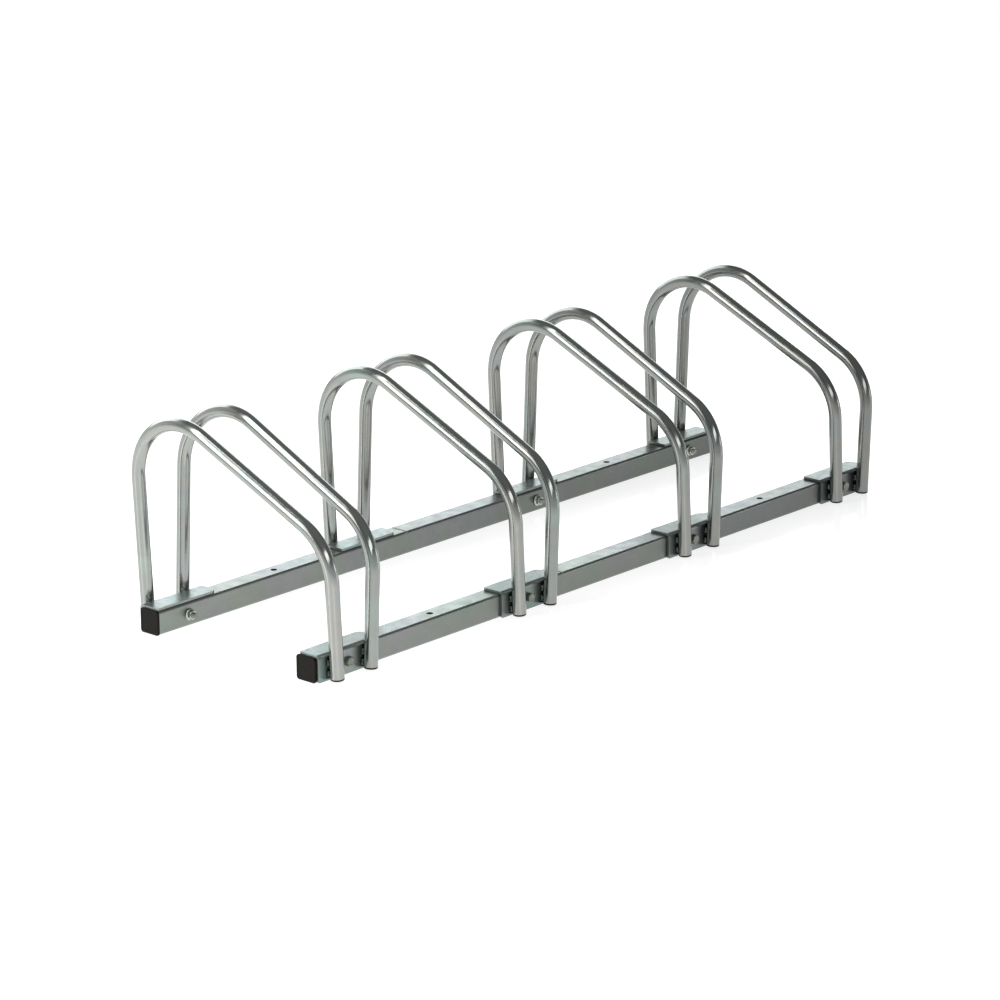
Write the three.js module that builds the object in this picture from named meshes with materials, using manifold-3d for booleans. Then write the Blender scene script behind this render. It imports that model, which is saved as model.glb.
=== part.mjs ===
// Floor bike rack with four wheel bays: two square-tube rails, and a pair of bent hoops in each bay.
// Millimetres. X runs along the rails, the low side of the hoops faces -Y, Z is up, the floor is z = 0.
import * as THREE from "three";
import { mergeVertices } from "three/addons/utils/BufferGeometryUtils.js";
import Module from "manifold-3d";

const wasm = await Module();
wasm.setup();

// Overall
const BAY_COUNT = 4;
const BAY_PITCH = 300; // centre of one wheel bay to the next
const RACK_HEIGHT = 260; // floor to the top of a hoop
const RAIL_SPACING = 248; // centre line of the front rail to that of the rear rail
const SEAT_GAP = 0.3; // clearance left wherever one piece rests on, or fits in, another

// Rails: square tube, in two lengths that plug together beside the second bay
const RAIL_SIZE = 28;
const RAIL_WALL = 1.5;
const RAIL_CORNER = 3; // outer corner radius
const JOINT_BAY = 1; // the joint lies just past this bay, counted from 0 at the left
const JOINT_PAST_BRACKET = 14; // from the bracket's edge to the end of the left length
const NECK_PAST_BRACKET = 6; // how far the swaged neck reaches beyond that bracket, inside
const SWAGE_TAPER = 3; // length over which the full section draws down to the neck
const ANCHOR_HOLE = 8; // floor screws, one hole in each length, midway between two bays

// End caps: a flange over the tube's end and a hollow stub inside it
const CAP_OVERHANG = 0.5; // how far the flange stands out past each side of the tube
const CAP_FLANGE = 3;
const CAP_EDGE = 1; // rounding of the flange's rim
const CAP_STUB = 16;
const CAP_WALL = 2;

// Hoops: bent round tube
const TUBE_DIAMETER = 16;
const TUBE_WALL = 1.2;
const HOOP_SPACING = 52.5; // between the two hoops of a bay, centre to centre, at the floor
const HOOP_SPLAY = 2.9; // degrees that each hoop leans away from the middle of its bay
const HOOP_SLOPE = 25.5; // degrees below level, from the top bend to the front bend
const TOP_BEND_RADIUS = 76; // of the tube's centre line
const FRONT_BEND_RADIUS = 70;

// Leg plugs: a foot under the tube's end and a hollow stub inside it
const FOOT_CLEARANCE = 1; // the legs stop this far above the floor, and the rack stands on its end caps
const PLUG_FOOT = 2;
const PLUG_STUB = 12;
const PLUG_WALL = 1.6;

// Brackets: one sheet, pressed to an L
const SHEET = 3;
const BEND_RADIUS = 1.5; // inside the bend
const BRACKET_MARGIN = 12.75; // from the outside of a leg at the floor to the bracket's edge
const TOP_FLANGE_SETBACK = 2.5; // the top flange stops this far short of the rail's inner face
const FREE_CORNER = 9; // right-hand corner of the top flange
const SHARP_CORNER = 1.2; // left-hand corner of the top flange

// Fasteners: a hex bolt through bracket and rail, and a flange nut on the rail's inner face
const BOLT_DIAMETER = 6;
const BOLT_HOLE_CLEARANCE = 0.35; // all round
const HEX_ACROSS_FLATS = 10;
const HEAD_HEIGHT = 4;
const NUT_HEIGHT = 6;
const NUT_FLANGE_DIAMETER = 14;
const NUT_FLANGE_THICKNESS = 1.2;
const BOLT_END_PROUD = 4; // how far the bolt comes through its nut
const FASTENER_CHAMFER = 0.7;

// Fineness of the curves
const CORNER_STEPS = 2;
const TUBE_SIDES = 16;
const BORE_SIDES = 8;
const BEND_STEP = 15; // degrees of bend between two rings of the tube
const HOLE_SIDES = 12;
const PLUG_SIDES = 10;

// Worked out from the sizes above
const radians = THREE.MathUtils.degToRad;
const tubeRadius = TUBE_DIAMETER / 2;
const boreRadius = tubeRadius - TUBE_WALL;
const railHalf = RAIL_SIZE / 2;
const railBoreHalf = railHalf - RAIL_WALL;
const railBoreCorner = Math.max(RAIL_CORNER - RAIL_WALL, SEAT_GAP * 2);
const railCentreHeight = CAP_OVERHANG + railHalf;
const bracketWidth = HOOP_SPACING + TUBE_DIAMETER + 2 * BRACKET_MARGIN;
const bracketInner = railHalf + SEAT_GAP; // from the rail's centre line to either flange's inner face
const bracketOuter = bracketInner + SHEET;
const legOffset = RAIL_SPACING / 2 + bracketOuter + SEAT_GAP + tubeRadius;
const railEnd = (BAY_PITCH * (BAY_COUNT - 1)) / 2 + bracketWidth / 2;
const jointBracketEdge = bayCentre(JOINT_BAY) + bracketWidth / 2;
const jointX = jointBracketEdge + JOINT_PAST_BRACKET;
const neckEnd = jointBracketEdge - bracketWidth - NECK_PAST_BRACKET;
const boltHoleRadius = BOLT_DIAMETER / 2 + BOLT_HOLE_CLEARANCE;

const FINISH = {
  zincTube: { color: 0xb4bab9, roughness: 0.22, metalness: 1 },
  zincRail: { color: 0xa9afad, roughness: 0.38, metalness: 1 },
  zincSheet: { color: 0xaab3b1, roughness: 0.3, metalness: 1 },
  zincFastener: { color: 0xa9a594, roughness: 0.4, metalness: 1 },
  blackPlastic: { color: 0x1f1d1c, roughness: 0.55, metalness: 0 },
};

const rack = new THREE.Group();

function bayCentre(bay) {
  return (bay - (BAY_COUNT - 1) / 2) * BAY_PITCH;
}

function addPiece(parent, name, geometry, finish) {
  const piece = new THREE.Mesh(geometry, new THREE.MeshStandardMaterial(FINISH[finish]));
  piece.name = name;
  parent.add(piece);
  return piece;
}

// A body whose skin runs through rings of points. The rings turn counter-clockwise about the way they
// advance. A looped skin joins its last ring to its first, as a tube's does, and any other skin is
// closed by a flat face on its first and its last ring.
function skin(rings, looped = false) {
  const sides = rings[0].length;
  const corners = [];
  const facet = (a, b, c) => corners.push(a, b, c);
  const spans = looped ? rings.length : rings.length - 1;
  for (let r = 0; r < spans; r += 1) {
    const near = rings[r];
    const far = rings[(r + 1) % rings.length];
    for (let s = 0; s < sides; s += 1) {
      const next = (s + 1) % sides;
      facet(near[s], near[next], far[next]);
      facet(near[s], far[next], far[s]);
    }
  }
  if (!looped) {
    const first = rings[0];
    const last = rings[rings.length - 1];
    for (let s = 1; s < sides - 1; s += 1) {
      facet(first[0], first[s + 1], first[s]);
      facet(last[0], last[s], last[s + 1]);
    }
  }
  return new THREE.BufferGeometry().setFromPoints(corners);
}

// Outlines, counter-clockwise, as 2-D points
function roundedSquare(half, radius) {
  const points = [];
  const centre = half - radius;
  for (let corner = 0; corner < 4; corner += 1) {
    const from = (corner * Math.PI) / 2;
    const cx = centre * Math.SQRT2 * Math.cos(from + Math.PI / 4);
    const cy = centre * Math.SQRT2 * Math.sin(from + Math.PI / 4);
    for (let step = 0; step <= CORNER_STEPS; step += 1) {
      const angle = from + (step / CORNER_STEPS) * (Math.PI / 2);
      points.push(new THREE.Vector2(cx + radius * Math.cos(angle), cy + radius * Math.sin(angle)));
    }
  }
  return points;
}

function circle(radius, sides) {
  return Array.from({ length: sides }, (_, i) => {
    const angle = (i / sides) * 2 * Math.PI;
    return new THREE.Vector2(radius * Math.cos(angle), radius * Math.sin(angle));
  });
}

// A hexagon with a point at each corner and one in the middle of each flat
function hexagon(acrossFlats) {
  const cornerRadius = acrossFlats / Math.sqrt(3);
  return Array.from({ length: HOLE_SIDES }, (_, i) => {
    const radius = i % 2 ? acrossFlats / 2 : cornerRadius;
    const angle = (i / HOLE_SIDES) * 2 * Math.PI;
    return new THREE.Vector2(radius * Math.cos(angle), radius * Math.sin(angle));
  });
}

// An outline set square to X, and one set square to Z
const ringAlongX = (outline, x) => outline.map((p) => new THREE.Vector3(x, p.x, p.y));
const ringAlongZ = (outline, z) => outline.map((p) => new THREE.Vector3(p.x, p.y, z));

// Solids for cutting, and back
function solid(geometry) {
  const bare = geometry.clone();
  bare.deleteAttribute("normal");
  bare.deleteAttribute("uv");
  const merged = mergeVertices(bare, 1e-4);
  return new wasm.Manifold(
    new wasm.Mesh({
      numProp: 3,
      vertProperties: merged.getAttribute("position").array,
      triVerts: new Uint32Array(merged.index.array),
    }),
  );
}

function geometryOf(body) {
  const mesh = body.getMesh();
  const geometry = new THREE.BufferGeometry();
  geometry.setAttribute("position", new THREE.BufferAttribute(mesh.vertProperties, 3));
  geometry.setIndex(new THREE.BufferAttribute(mesh.triVerts, 1));
  const faceted = geometry.toNonIndexed();
  faceted.computeVertexNormals();
  return faceted;
}

// A drill through (x, z) along Y, and one through (x, y) along Z
function drillAlongY(x, z, radius, length) {
  const drill = new THREE.CylinderGeometry(radius, radius, length, HOLE_SIDES);
  return solid(drill.translate(x, 0, z));
}

function drillAlongZ(x, radius, length) {
  const drill = new THREE.CylinderGeometry(radius, radius, length, HOLE_SIDES);
  return solid(drill.rotateX(Math.PI / 2).translate(x, 0, 0));
}

// One length of rail about its own centre line. Its stations give the outer half size and corner at
// each x; the bore follows them at the wall's thickness.
function railLength(stations, firstBay, lastBay, anchorX) {
  const outer = stations.map(([x, half, corner]) => ringAlongX(roundedSquare(half, corner), x));
  const bore = stations
    .map(([x, half, corner]) => {
      const boreCorner = Math.max(corner - RAIL_WALL, SEAT_GAP);
      return ringAlongX(roundedSquare(half - RAIL_WALL, boreCorner), x);
    })
    .reverse();
  let body = solid(skin([...outer, ...bore], true));
  for (let bay = firstBay; bay <= lastBay; bay += 1) {
    body = body.subtract(drillAlongY(bayCentre(bay), 0, boltHoleRadius, 2 * RAIL_SIZE));
  }
  body = body.subtract(drillAlongZ(anchorX, ANCHOR_HOLE / 2, 2 * RAIL_SIZE));
  return geometryOf(body);
}

function leftRail() {
  const stations = [
    [-railEnd, railHalf, RAIL_CORNER],
    [jointX, railHalf, RAIL_CORNER],
  ];
  const anchorX = (bayCentre(0) + bayCentre(1)) / 2;
  return railLength(stations, 0, JOINT_BAY, anchorX);
}

// The right-hand length is drawn down at its left end to a neck that slides into the other length
function rightRail() {
  const neckHalf = railBoreHalf - SEAT_GAP;
  const neckCorner = railBoreCorner - SEAT_GAP;
  const stations = [
    [neckEnd, neckHalf, neckCorner],
    [jointX + SEAT_GAP, neckHalf, neckCorner],
    [jointX + SEAT_GAP + SWAGE_TAPER, railHalf, RAIL_CORNER],
    [railEnd, railHalf, RAIL_CORNER],
  ];
  const anchorX = (bayCentre(BAY_COUNT - 2) + bayCentre(BAY_COUNT - 1)) / 2;
  return railLength(stations, JOINT_BAY, BAY_COUNT - 1, anchorX);
}

// A cap for a rail's right-hand end, with x = 0 at the end of the tube
function endCap() {
  const flangeHalf = railHalf + CAP_OVERHANG;
  const flangeCorner = RAIL_CORNER + CAP_OVERHANG;
  const stubHalf = railBoreHalf - SEAT_GAP;
  const stubCorner = railBoreCorner - SEAT_GAP;
  const hollowHalf = stubHalf - CAP_WALL;
  const square = (half, corner, x) => ringAlongX(roundedSquare(half, corner), x);
  return skin([
    square(hollowHalf, stubCorner, -CAP_EDGE),
    square(hollowHalf, stubCorner, -CAP_STUB),
    square(stubHalf - CAP_EDGE / 2, stubCorner, -CAP_STUB),
    square(stubHalf, stubCorner, -CAP_STUB + 2 * CAP_EDGE),
    square(stubHalf, stubCorner, SEAT_GAP),
    square(flangeHalf, flangeCorner, SEAT_GAP),
    square(flangeHalf, flangeCorner, CAP_FLANGE - CAP_EDGE),
    square(flangeHalf - CAP_EDGE, flangeCorner, CAP_FLANGE),
  ]);
}

// The hoop's centre line in its own plane: from the rear leg's end over the top and down to the
// front leg's end. Each station has a place (y, z) and the direction of travel (dy, dz).
function hoopStations(legStart) {
  const splay = radians(HOOP_SPLAY);
  const slope = radians(HOOP_SLOPE);
  const turned = Math.PI / 2 + slope; // angle of the slope's radius in both bends
  const topY = legOffset - TOP_BEND_RADIUS;
  const topZ = (RACK_HEIGHT - tubeRadius) / Math.cos(splay) - TOP_BEND_RADIUS;
  const frontY = FRONT_BEND_RADIUS - legOffset;
  const radiusDrop = TOP_BEND_RADIUS - FRONT_BEND_RADIUS;
  const slopeRun = frontY - topY - radiusDrop * Math.cos(turned);
  const frontZ = topZ + radiusDrop * Math.sin(turned) + Math.tan(slope) * slopeRun;
  const bend = (cy, cz, radius, from, to) => {
    const steps = Math.ceil((to - from) / radians(BEND_STEP));
    return Array.from({ length: steps + 1 }, (_, i) => {
      const angle = from + ((to - from) * i) / steps;
      const [c, s] = [Math.cos(angle), Math.sin(angle)];
      return { y: cy + radius * c, z: cz + radius * s, dy: -s, dz: c };
    });
  };
  return [
    { y: legOffset, z: legStart, dy: 0, dz: 1 },
    ...bend(topY, topZ, TOP_BEND_RADIUS, 0, turned),
    ...bend(frontY, frontZ, FRONT_BEND_RADIUS, turned, Math.PI),
    { y: -legOffset, z: legStart, dy: 0, dz: -1 },
  ];
}

function sweep(stations, outline) {
  return skin(
    stations.map(({ y, z, dy, dz }) =>
      outline.map((p) => new THREE.Vector3(p.x, y + p.y * dz, z - p.y * dy)),
    ),
  );
}

// Heights along a leg's own axis: the middle of its foot, whose tilted rim hangs lower, and the tube
const footHeight = FOOT_CLEARANCE + tubeRadius * Math.tan(radians(HOOP_SPLAY));
const tubeStart = footHeight + PLUG_FOOT + SEAT_GAP;

function hoop() {
  const outside = sweep(hoopStations(tubeStart), circle(tubeRadius, TUBE_SIDES));
  const bore = sweep(hoopStations(tubeStart - TUBE_WALL), circle(boreRadius, BORE_SIDES));
  return geometryOf(solid(outside).subtract(solid(bore)));
}

// A plug about its leg's axis, with z = 0 under the foot
function legPlug() {
  const stubRadius = boreRadius * Math.cos(Math.PI / BORE_SIDES) - SEAT_GAP;
  const stubTop = PLUG_FOOT + PLUG_STUB;
  const profile = [
    [0, 0],
    [tubeRadius, 0],
    [tubeRadius, PLUG_FOOT],
    [stubRadius, PLUG_FOOT],
    [stubRadius, stubTop],
    [stubRadius - PLUG_WALL, stubTop],
    [stubRadius - PLUG_WALL, PLUG_FOOT],
    [0, PLUG_FOOT],
  ];
  const points = profile.map(([r, z]) => new THREE.Vector2(r, z));
  return new THREE.LatheGeometry(points, PLUG_SIDES).rotateX(Math.PI / 2);
}

// A bracket about its rail's centre line, with its upright flange on the +Y side. Its section is an L,
// and the free corners of its top flange are rounded.
function bracket() {
  const bendCentre = bracketInner - BEND_RADIUS;
  const freeEdge = -railHalf + TOP_FLANGE_SETBACK;
  const lowEdge = -railHalf;
  const section = new THREE.Shape();
  section.moveTo(bracketInner, lowEdge);
  section.lineTo(bracketInner, bendCentre); // an arc that opens a shape drops the point before it
  section.absarc(bendCentre, bendCentre, BEND_RADIUS, 0, Math.PI / 2, false);
  section.lineTo(freeEdge, bracketInner);
  section.lineTo(freeEdge, bracketOuter);
  section.absarc(bendCentre, bendCentre, BEND_RADIUS + SHEET, Math.PI / 2, 0, true);
  section.lineTo(bracketOuter, lowEdge);
  const pressed = new THREE.ExtrudeGeometry(section, {
    depth: bracketWidth,
    bevelEnabled: false,
    curveSegments: CORNER_STEPS + 1,
  });
  const yzToXyz = new THREE.Matrix4().set(0, 0, 1, -bracketWidth / 2, 1, 0, 0, 0, 0, 1, 0, 0, 0, 0, 0, 1);
  pressed.applyMatrix4(yzToXyz);

  const [left, right, beyond] = [-bracketWidth / 2, bracketWidth / 2, bracketOuter + SHEET];
  const plan = new THREE.Shape();
  plan.moveTo(right, beyond);
  plan.lineTo(left, beyond);
  plan.absarc(left + SHARP_CORNER, freeEdge + SHARP_CORNER, SHARP_CORNER, Math.PI, 1.5 * Math.PI, false);
  plan.absarc(right - FREE_CORNER, freeEdge + FREE_CORNER, FREE_CORNER, 1.5 * Math.PI, 2 * Math.PI, false);
  const blank = new THREE.ExtrudeGeometry(plan, {
    depth: 2 * RAIL_SIZE,
    bevelEnabled: false,
    curveSegments: CORNER_STEPS + 1,
  }).translate(0, 0, -RAIL_SIZE);

  const body = solid(pressed).intersect(solid(blank));
  return geometryOf(body.subtract(drillAlongY(0, 0, boltHoleRadius, 2 * RAIL_SPACING)));
}

// A bolt about Z, its head on top, with z = 0 under the head
function bolt() {
  const grip = SHEET + 2 * SEAT_GAP + RAIL_SIZE + SEAT_GAP;
  const tip = -(grip + NUT_HEIGHT + BOLT_END_PROUD);
  const shank = (z, cut = 0) => ringAlongZ(circle(BOLT_DIAMETER / 2 - cut, HOLE_SIDES), z);
  return skin([
    shank(tip, FASTENER_CHAMFER),
    shank(tip + FASTENER_CHAMFER),
    shank(0),
    ringAlongZ(hexagon(HEX_ACROSS_FLATS), 0),
    ringAlongZ(hexagon(HEX_ACROSS_FLATS), HEAD_HEIGHT - FASTENER_CHAMFER),
    ringAlongZ(circle(HEX_ACROSS_FLATS / 2 - FASTENER_CHAMFER / 2, HOLE_SIDES), HEAD_HEIGHT),
  ]);
}

// A flange nut about Z, its flange at z = 0
function nut() {
  const bore = (z) => ringAlongZ(circle(boltHoleRadius, HOLE_SIDES), z);
  const flange = (z) => ringAlongZ(circle(NUT_FLANGE_DIAMETER / 2, HOLE_SIDES), z);
  return skin(
    [
      flange(0),
      flange(NUT_FLANGE_THICKNESS),
      ringAlongZ(hexagon(HEX_ACROSS_FLATS), NUT_FLANGE_THICKNESS + FASTENER_CHAMFER),
      ringAlongZ(hexagon(HEX_ACROSS_FLATS), NUT_HEIGHT - FASTENER_CHAMFER),
      ringAlongZ(circle(HEX_ACROSS_FLATS / 2 - FASTENER_CHAMFER / 2, HOLE_SIDES), NUT_HEIGHT),
      bore(NUT_HEIGHT),
      bore(0),
    ],
    true,
  );
}

// One rail with its end caps. The side is -1 for the front and 1 for the rear.
function addRail(side, where) {
  const rail = new THREE.Group();
  rail.position.set(0, (side * RAIL_SPACING) / 2, railCentreHeight);
  addPiece(rail, `rail_${where}_left`, leftRail(), "zincRail");
  addPiece(rail, `rail_${where}_right`, rightRail(), "zincRail");
  const rightCap = addPiece(rail, `end_cap_${where}_right`, endCap(), "blackPlastic");
  rightCap.position.x = railEnd;
  const leftCap = addPiece(rail, `end_cap_${where}_left`, endCap(), "blackPlastic");
  leftCap.position.x = -railEnd;
  leftCap.rotation.z = Math.PI;
  rack.add(rail);
}

// A bracket with its bolt and nut at one crossing of a bay and a rail. The upright flange, and with it
// the bolt's head, is on the side away from the other rail.
function addFixing(bay, side, where) {
  const fixing = new THREE.Group();
  fixing.position.set(bayCentre(bay), (side * RAIL_SPACING) / 2, railCentreHeight);
  const plate = addPiece(fixing, `bracket_${where}_${bay + 1}`, bracket(), "zincSheet");
  plate.scale.y = side;
  const screw = addPiece(fixing, `bolt_${where}_${bay + 1}`, bolt(), "zincFastener");
  screw.rotation.x = (-side * Math.PI) / 2;
  screw.position.y = side * (bracketOuter + SEAT_GAP);
  const lock = addPiece(fixing, `nut_${where}_${bay + 1}`, nut(), "zincFastener");
  lock.rotation.x = (side * Math.PI) / 2;
  lock.position.y = -side * (railHalf + SEAT_GAP);
  rack.add(fixing);
}

// A hoop with the plugs in its legs. The side is -1 for the left hoop of a bay and 1 for the right.
function addHoop(bay, side, which) {
  const frame = new THREE.Group();
  frame.position.x = bayCentre(bay) + (side * HOOP_SPACING) / 2;
  frame.rotation.y = side * radians(HOOP_SPLAY);
  addPiece(frame, `hoop_${bay + 1}_${which}`, hoop(), "zincTube");
  for (const [end, y] of [["front", -legOffset], ["rear", legOffset]]) {
    const plug = addPiece(frame, `leg_plug_${bay + 1}_${which}_${end}`, legPlug(), "blackPlastic");
    plug.position.set(0, y, footHeight);
  }
  rack.add(frame);
}

for (const [side, where] of [[-1, "front"], [1, "rear"]]) {
  addRail(side, where);
  for (let bay = 0; bay < BAY_COUNT; bay += 1) addFixing(bay, side, where);
}
for (let bay = 0; bay < BAY_COUNT; bay += 1) {
  addHoop(bay, -1, "left");
  addHoop(bay, 1, "right");
}

export default rack;
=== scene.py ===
# %% [markdown]
# # A floor rack for four bicycles, in bright zinc
#
# The real thing is a welded and bolted steel stand. Two square tubes lie on the floor. Four bays cross
# them, each a pair of bent round tubes that lean apart and take a tyre between them. Pressed brackets,
# welded to the legs, are bolted to the square tubes. Everything is zinc plated except the black plastic
# caps and plugs.
#
# The construction model gives every piece its place and size. This lesson gives each one its true
# surface: round where the tube is round, softened where the steel was cut, bright where it is plated.

# %% Load the construction model
import math

import bmesh
import bpy
from bmesh.types import BMEdge, BMFace, BMVert
from mathutils import Matrix, Vector


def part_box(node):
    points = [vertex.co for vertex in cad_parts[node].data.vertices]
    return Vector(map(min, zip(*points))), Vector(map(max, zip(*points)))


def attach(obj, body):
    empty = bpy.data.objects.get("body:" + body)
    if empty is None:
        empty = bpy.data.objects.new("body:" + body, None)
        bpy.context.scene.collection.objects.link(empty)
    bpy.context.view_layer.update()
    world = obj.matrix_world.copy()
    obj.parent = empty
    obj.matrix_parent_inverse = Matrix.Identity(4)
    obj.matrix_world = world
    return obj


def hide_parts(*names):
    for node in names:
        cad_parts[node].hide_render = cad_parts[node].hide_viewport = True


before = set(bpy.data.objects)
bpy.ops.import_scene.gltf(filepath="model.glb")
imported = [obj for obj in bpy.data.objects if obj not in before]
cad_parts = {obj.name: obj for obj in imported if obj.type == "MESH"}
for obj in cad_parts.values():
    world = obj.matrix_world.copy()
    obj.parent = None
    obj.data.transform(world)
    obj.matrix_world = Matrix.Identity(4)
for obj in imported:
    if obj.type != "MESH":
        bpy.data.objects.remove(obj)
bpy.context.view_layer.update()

MM = 0.001

# %% [markdown]
# ## Sizes
#
# Blender works in metres, and a tube maker in millimetres, so each size is written in millimetres times
# MM. Only what the finished surfaces need is repeated here: bend radii, walls and corners. Places come
# from the construction model's boxes, so a piece can't drift from where it is bolted.

# %% Sizes of the tubes, and where the bays are
TUBE_RADIUS = 8 * MM
TUBE_WALL = 1.2 * MM
HOOP_SPACING = 52.5 * MM
HOOP_SPLAY = math.radians(2.9)
HOOP_SLOPE = math.radians(25.5)
TOP_BEND = 76 * MM
FRONT_BEND = 70 * MM
RAIL_WALL = 1.5 * MM
RAIL_CORNER = 3 * MM
SEAT_GAP = 0.3 * MM

BAYS = (1, 2, 3, 4)
ENDS = {"front": -1, "rear": 1}
HANDS = {"left": -1, "right": 1}


def middle(node):
    low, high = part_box(node)
    return (low + high) / 2


rail_low, rail_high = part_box("rail_front_left")
rail_half = (rail_high.z - rail_low.z) / 2
rail_height = (rail_high.z + rail_low.z) / 2
rail_y = abs(middle("rail_front_left").y)
rail_end = -rail_low.x
bay_x = {bay: middle(f"bracket_front_{bay}").x for bay in BAYS}
print("bays at", [round(x / MM) for x in bay_x.values()], "mm, rails at", round(rail_y / MM, 1), "mm")

# %% [markdown]
# ## The camera
#
# The photograph was taken with a long lens from some 4.7 m away, a little above the rack and off its
# left front corner. A long lens keeps the far bays almost as large as the near ones. The values were
# found by laying the construction model's outline over the photograph's.

# %% Set up the camera
CAMERA_PLACE = Vector((-3.3813, -2.9960, 1.4176))
CAMERA_AZIMUTH = math.radians(-48.10)
CAMERA_ELEVATION = math.radians(16.61)
CAMERA_ROLL = math.radians(-0.31)
SENSOR = 36.0
FOCAL_LENGTH = 141.6

camera_data = bpy.data.cameras.new("camera")
camera_data.sensor_width = SENSOR
camera_data.lens = FOCAL_LENGTH
camera_data.clip_end = 100
camera = bpy.data.objects.new("camera", camera_data)
bpy.context.collection.objects.link(camera)
camera.matrix_world = (
    Matrix.Translation(CAMERA_PLACE)
    @ Matrix.Rotation(CAMERA_AZIMUTH, 4, "Z")
    @ Matrix.Rotation(math.pi / 2 - CAMERA_ELEVATION, 4, "X")
    @ Matrix.Rotation(CAMERA_ROLL, 4, "Z")
)
bpy.context.scene.camera = camera
bpy.context.scene.view_settings.view_transform = "Standard"

# %% [markdown]
# ## Zinc plating
#
# Zinc on steel is a mirror with a veil over it: a metal, so all its colour is in the reflection, and
# slightly rough. The plating bath leaves clouds of pale green and blue, the veil is thicker in some
# patches than in others, and drawing leaves a fine grain. One function mixes these from noise, and each
# kind of steel gets its own values. The noise reads object coordinates, so it stays on the steel. The
# colour is also painted lighter towards the rack's left end and darker towards its right: painted shade.


# %% Helpers for every material
RELIEF_DEPTH = 0.1 * MM


def noise_texture(tree, coordinates, size, detail, stretch=(1, 1, 1)):
    """Noise whose blobs are about size metres across, drawn out by stretch."""
    mapping = tree.nodes.new("ShaderNodeMapping")
    mapping.inputs["Scale"].default_value = [1 / (size * s) for s in stretch]
    tree.links.new(coordinates.outputs["Object"], mapping.inputs["Vector"])
    noise = tree.nodes.new("ShaderNodeTexNoise")
    noise.inputs["Scale"].default_value = 1
    noise.inputs["Detail"].default_value = detail
    tree.links.new(mapping.outputs["Vector"], noise.inputs["Vector"])
    return noise


def ramp(tree, source, stops):
    """Colours, or grey levels, along a noise's value."""
    colours = tree.nodes.new("ShaderNodeValToRGB")
    while len(colours.color_ramp.elements) < len(stops):
        colours.color_ramp.elements.new(0.5)
    for element, (place, colour) in zip(colours.color_ramp.elements, stops):
        element.position = place
        element.color = (*colour, 1) if len(colour) == 3 else (colour[0],) * 3 + (1,)
    tree.links.new(source, colours.inputs["Fac"])
    return colours


def map_range(tree, source, from_low, from_high, to_low, to_high):
    """Carries a value from one range to another."""
    mapped = tree.nodes.new("ShaderNodeMapRange")
    sockets = ("From Min", "From Max", "To Min", "To Max")
    for socket, value in zip(sockets, (from_low, from_high, to_low, to_high)):
        mapped.inputs[socket].default_value = value
    tree.links.new(source, mapped.inputs["Value"])
    return mapped


def add_relief(tree, source, strength, shader):
    relief = tree.nodes.new("ShaderNodeBump")
    relief.inputs["Strength"].default_value = strength
    relief.inputs["Distance"].default_value = RELIEF_DEPTH
    tree.links.new(source, relief.inputs["Height"])
    tree.links.new(relief.outputs["Normal"], shader.inputs["Normal"])


# %% A function for every zinc finish
CLOUDS_FROM = 0.3
CLOUDS_SPREAD = 0.4
VEIL_SHARE_OF_CLOUD = 6
RACK_ENDS = (-0.5, 0.5)


def zinc(name, tints, cloud, roughness, grain, grain_stretch, bump, painted_shade_ends=(1, 1)):
    """tints are the plating's colours from cloud to cloud, roughness its lowest and highest value, and the
    last argument painted shade: how much lighter or darker the colour is painted at the rack's left and right
    end."""
    material = bpy.data.materials.new(name)
    material.use_nodes = True
    tree = material.node_tree
    shader = tree.nodes["Principled BSDF"]
    shader.inputs["Metallic"].default_value = 1
    coordinates = tree.nodes.new("ShaderNodeTexCoord")

    clouds = noise_texture(tree, coordinates, cloud, 3)
    spread = [(CLOUDS_FROM + CLOUDS_SPREAD * i / (len(tints) - 1), tint) for i, tint in enumerate(tints)]
    colours = ramp(tree, clouds.outputs["Fac"], spread)
    along = tree.nodes.new("ShaderNodeSeparateXYZ")
    tree.links.new(coordinates.outputs["Object"], along.inputs["Vector"])
    # Painted shade: the colour is scaled along X, lighter at the rack's left end and darker at its right,
    # standing in for surroundings that are darker to the right.
    painted_shade = map_range(tree, along.outputs["X"], *RACK_ENDS, *painted_shade_ends)
    shaded = tree.nodes.new("ShaderNodeVectorMath")
    shaded.operation = "SCALE"
    tree.links.new(colours.outputs["Color"], shaded.inputs["Vector"])
    tree.links.new(painted_shade.outputs["Result"], shaded.inputs["Scale"])
    tree.links.new(shaded.outputs["Vector"], shader.inputs["Base Color"])

    veil = noise_texture(tree, coordinates, cloud / VEIL_SHARE_OF_CLOUD, 5)
    levels = ramp(tree, veil.outputs["Fac"], [(0.35, (roughness[0],)), (0.7, (roughness[1],))])
    tree.links.new(levels.outputs["Color"], shader.inputs["Roughness"])

    lines = noise_texture(tree, coordinates, grain, 4, grain_stretch)
    add_relief(tree, lines.outputs["Fac"], bump, shader)
    print(f"{name}: clouds {cloud / MM:.0f} mm, grain {grain / MM:.1f} mm")
    return material


# %% The six zinc finishes
TUBE_TINTS = ((0.32, 0.36, 0.335), (0.31, 0.325, 0.31), (0.34, 0.34, 0.315), (0.31, 0.34, 0.34))
RAIL_TINTS = ((0.2, 0.235, 0.21), (0.22, 0.236, 0.212), (0.224, 0.23, 0.23), (0.204, 0.232, 0.224))
SHEET_TINTS = ((0.24, 0.31, 0.295), (0.268, 0.295, 0.28), (0.27, 0.285, 0.295))
BOLT_TINTS = ((0.28, 0.275, 0.22), (0.23, 0.24, 0.21), (0.25, 0.255, 0.225))
# Painted light: the nuts' zinc is painted lighter than the bolts' to make up for the shade the nuts sit in.
LIGHTENED_NUT_TINTS = ((0.55, 0.55, 0.46), (0.46, 0.49, 0.44), (0.5, 0.52, 0.48))
WELD_TINTS = ((0.18, 0.18, 0.16), (0.12, 0.135, 0.125), (0.15, 0.165, 0.16))

# The last pair for tube, rail and sheet is painted shade: lighter at the left end, darker at the right.
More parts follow.
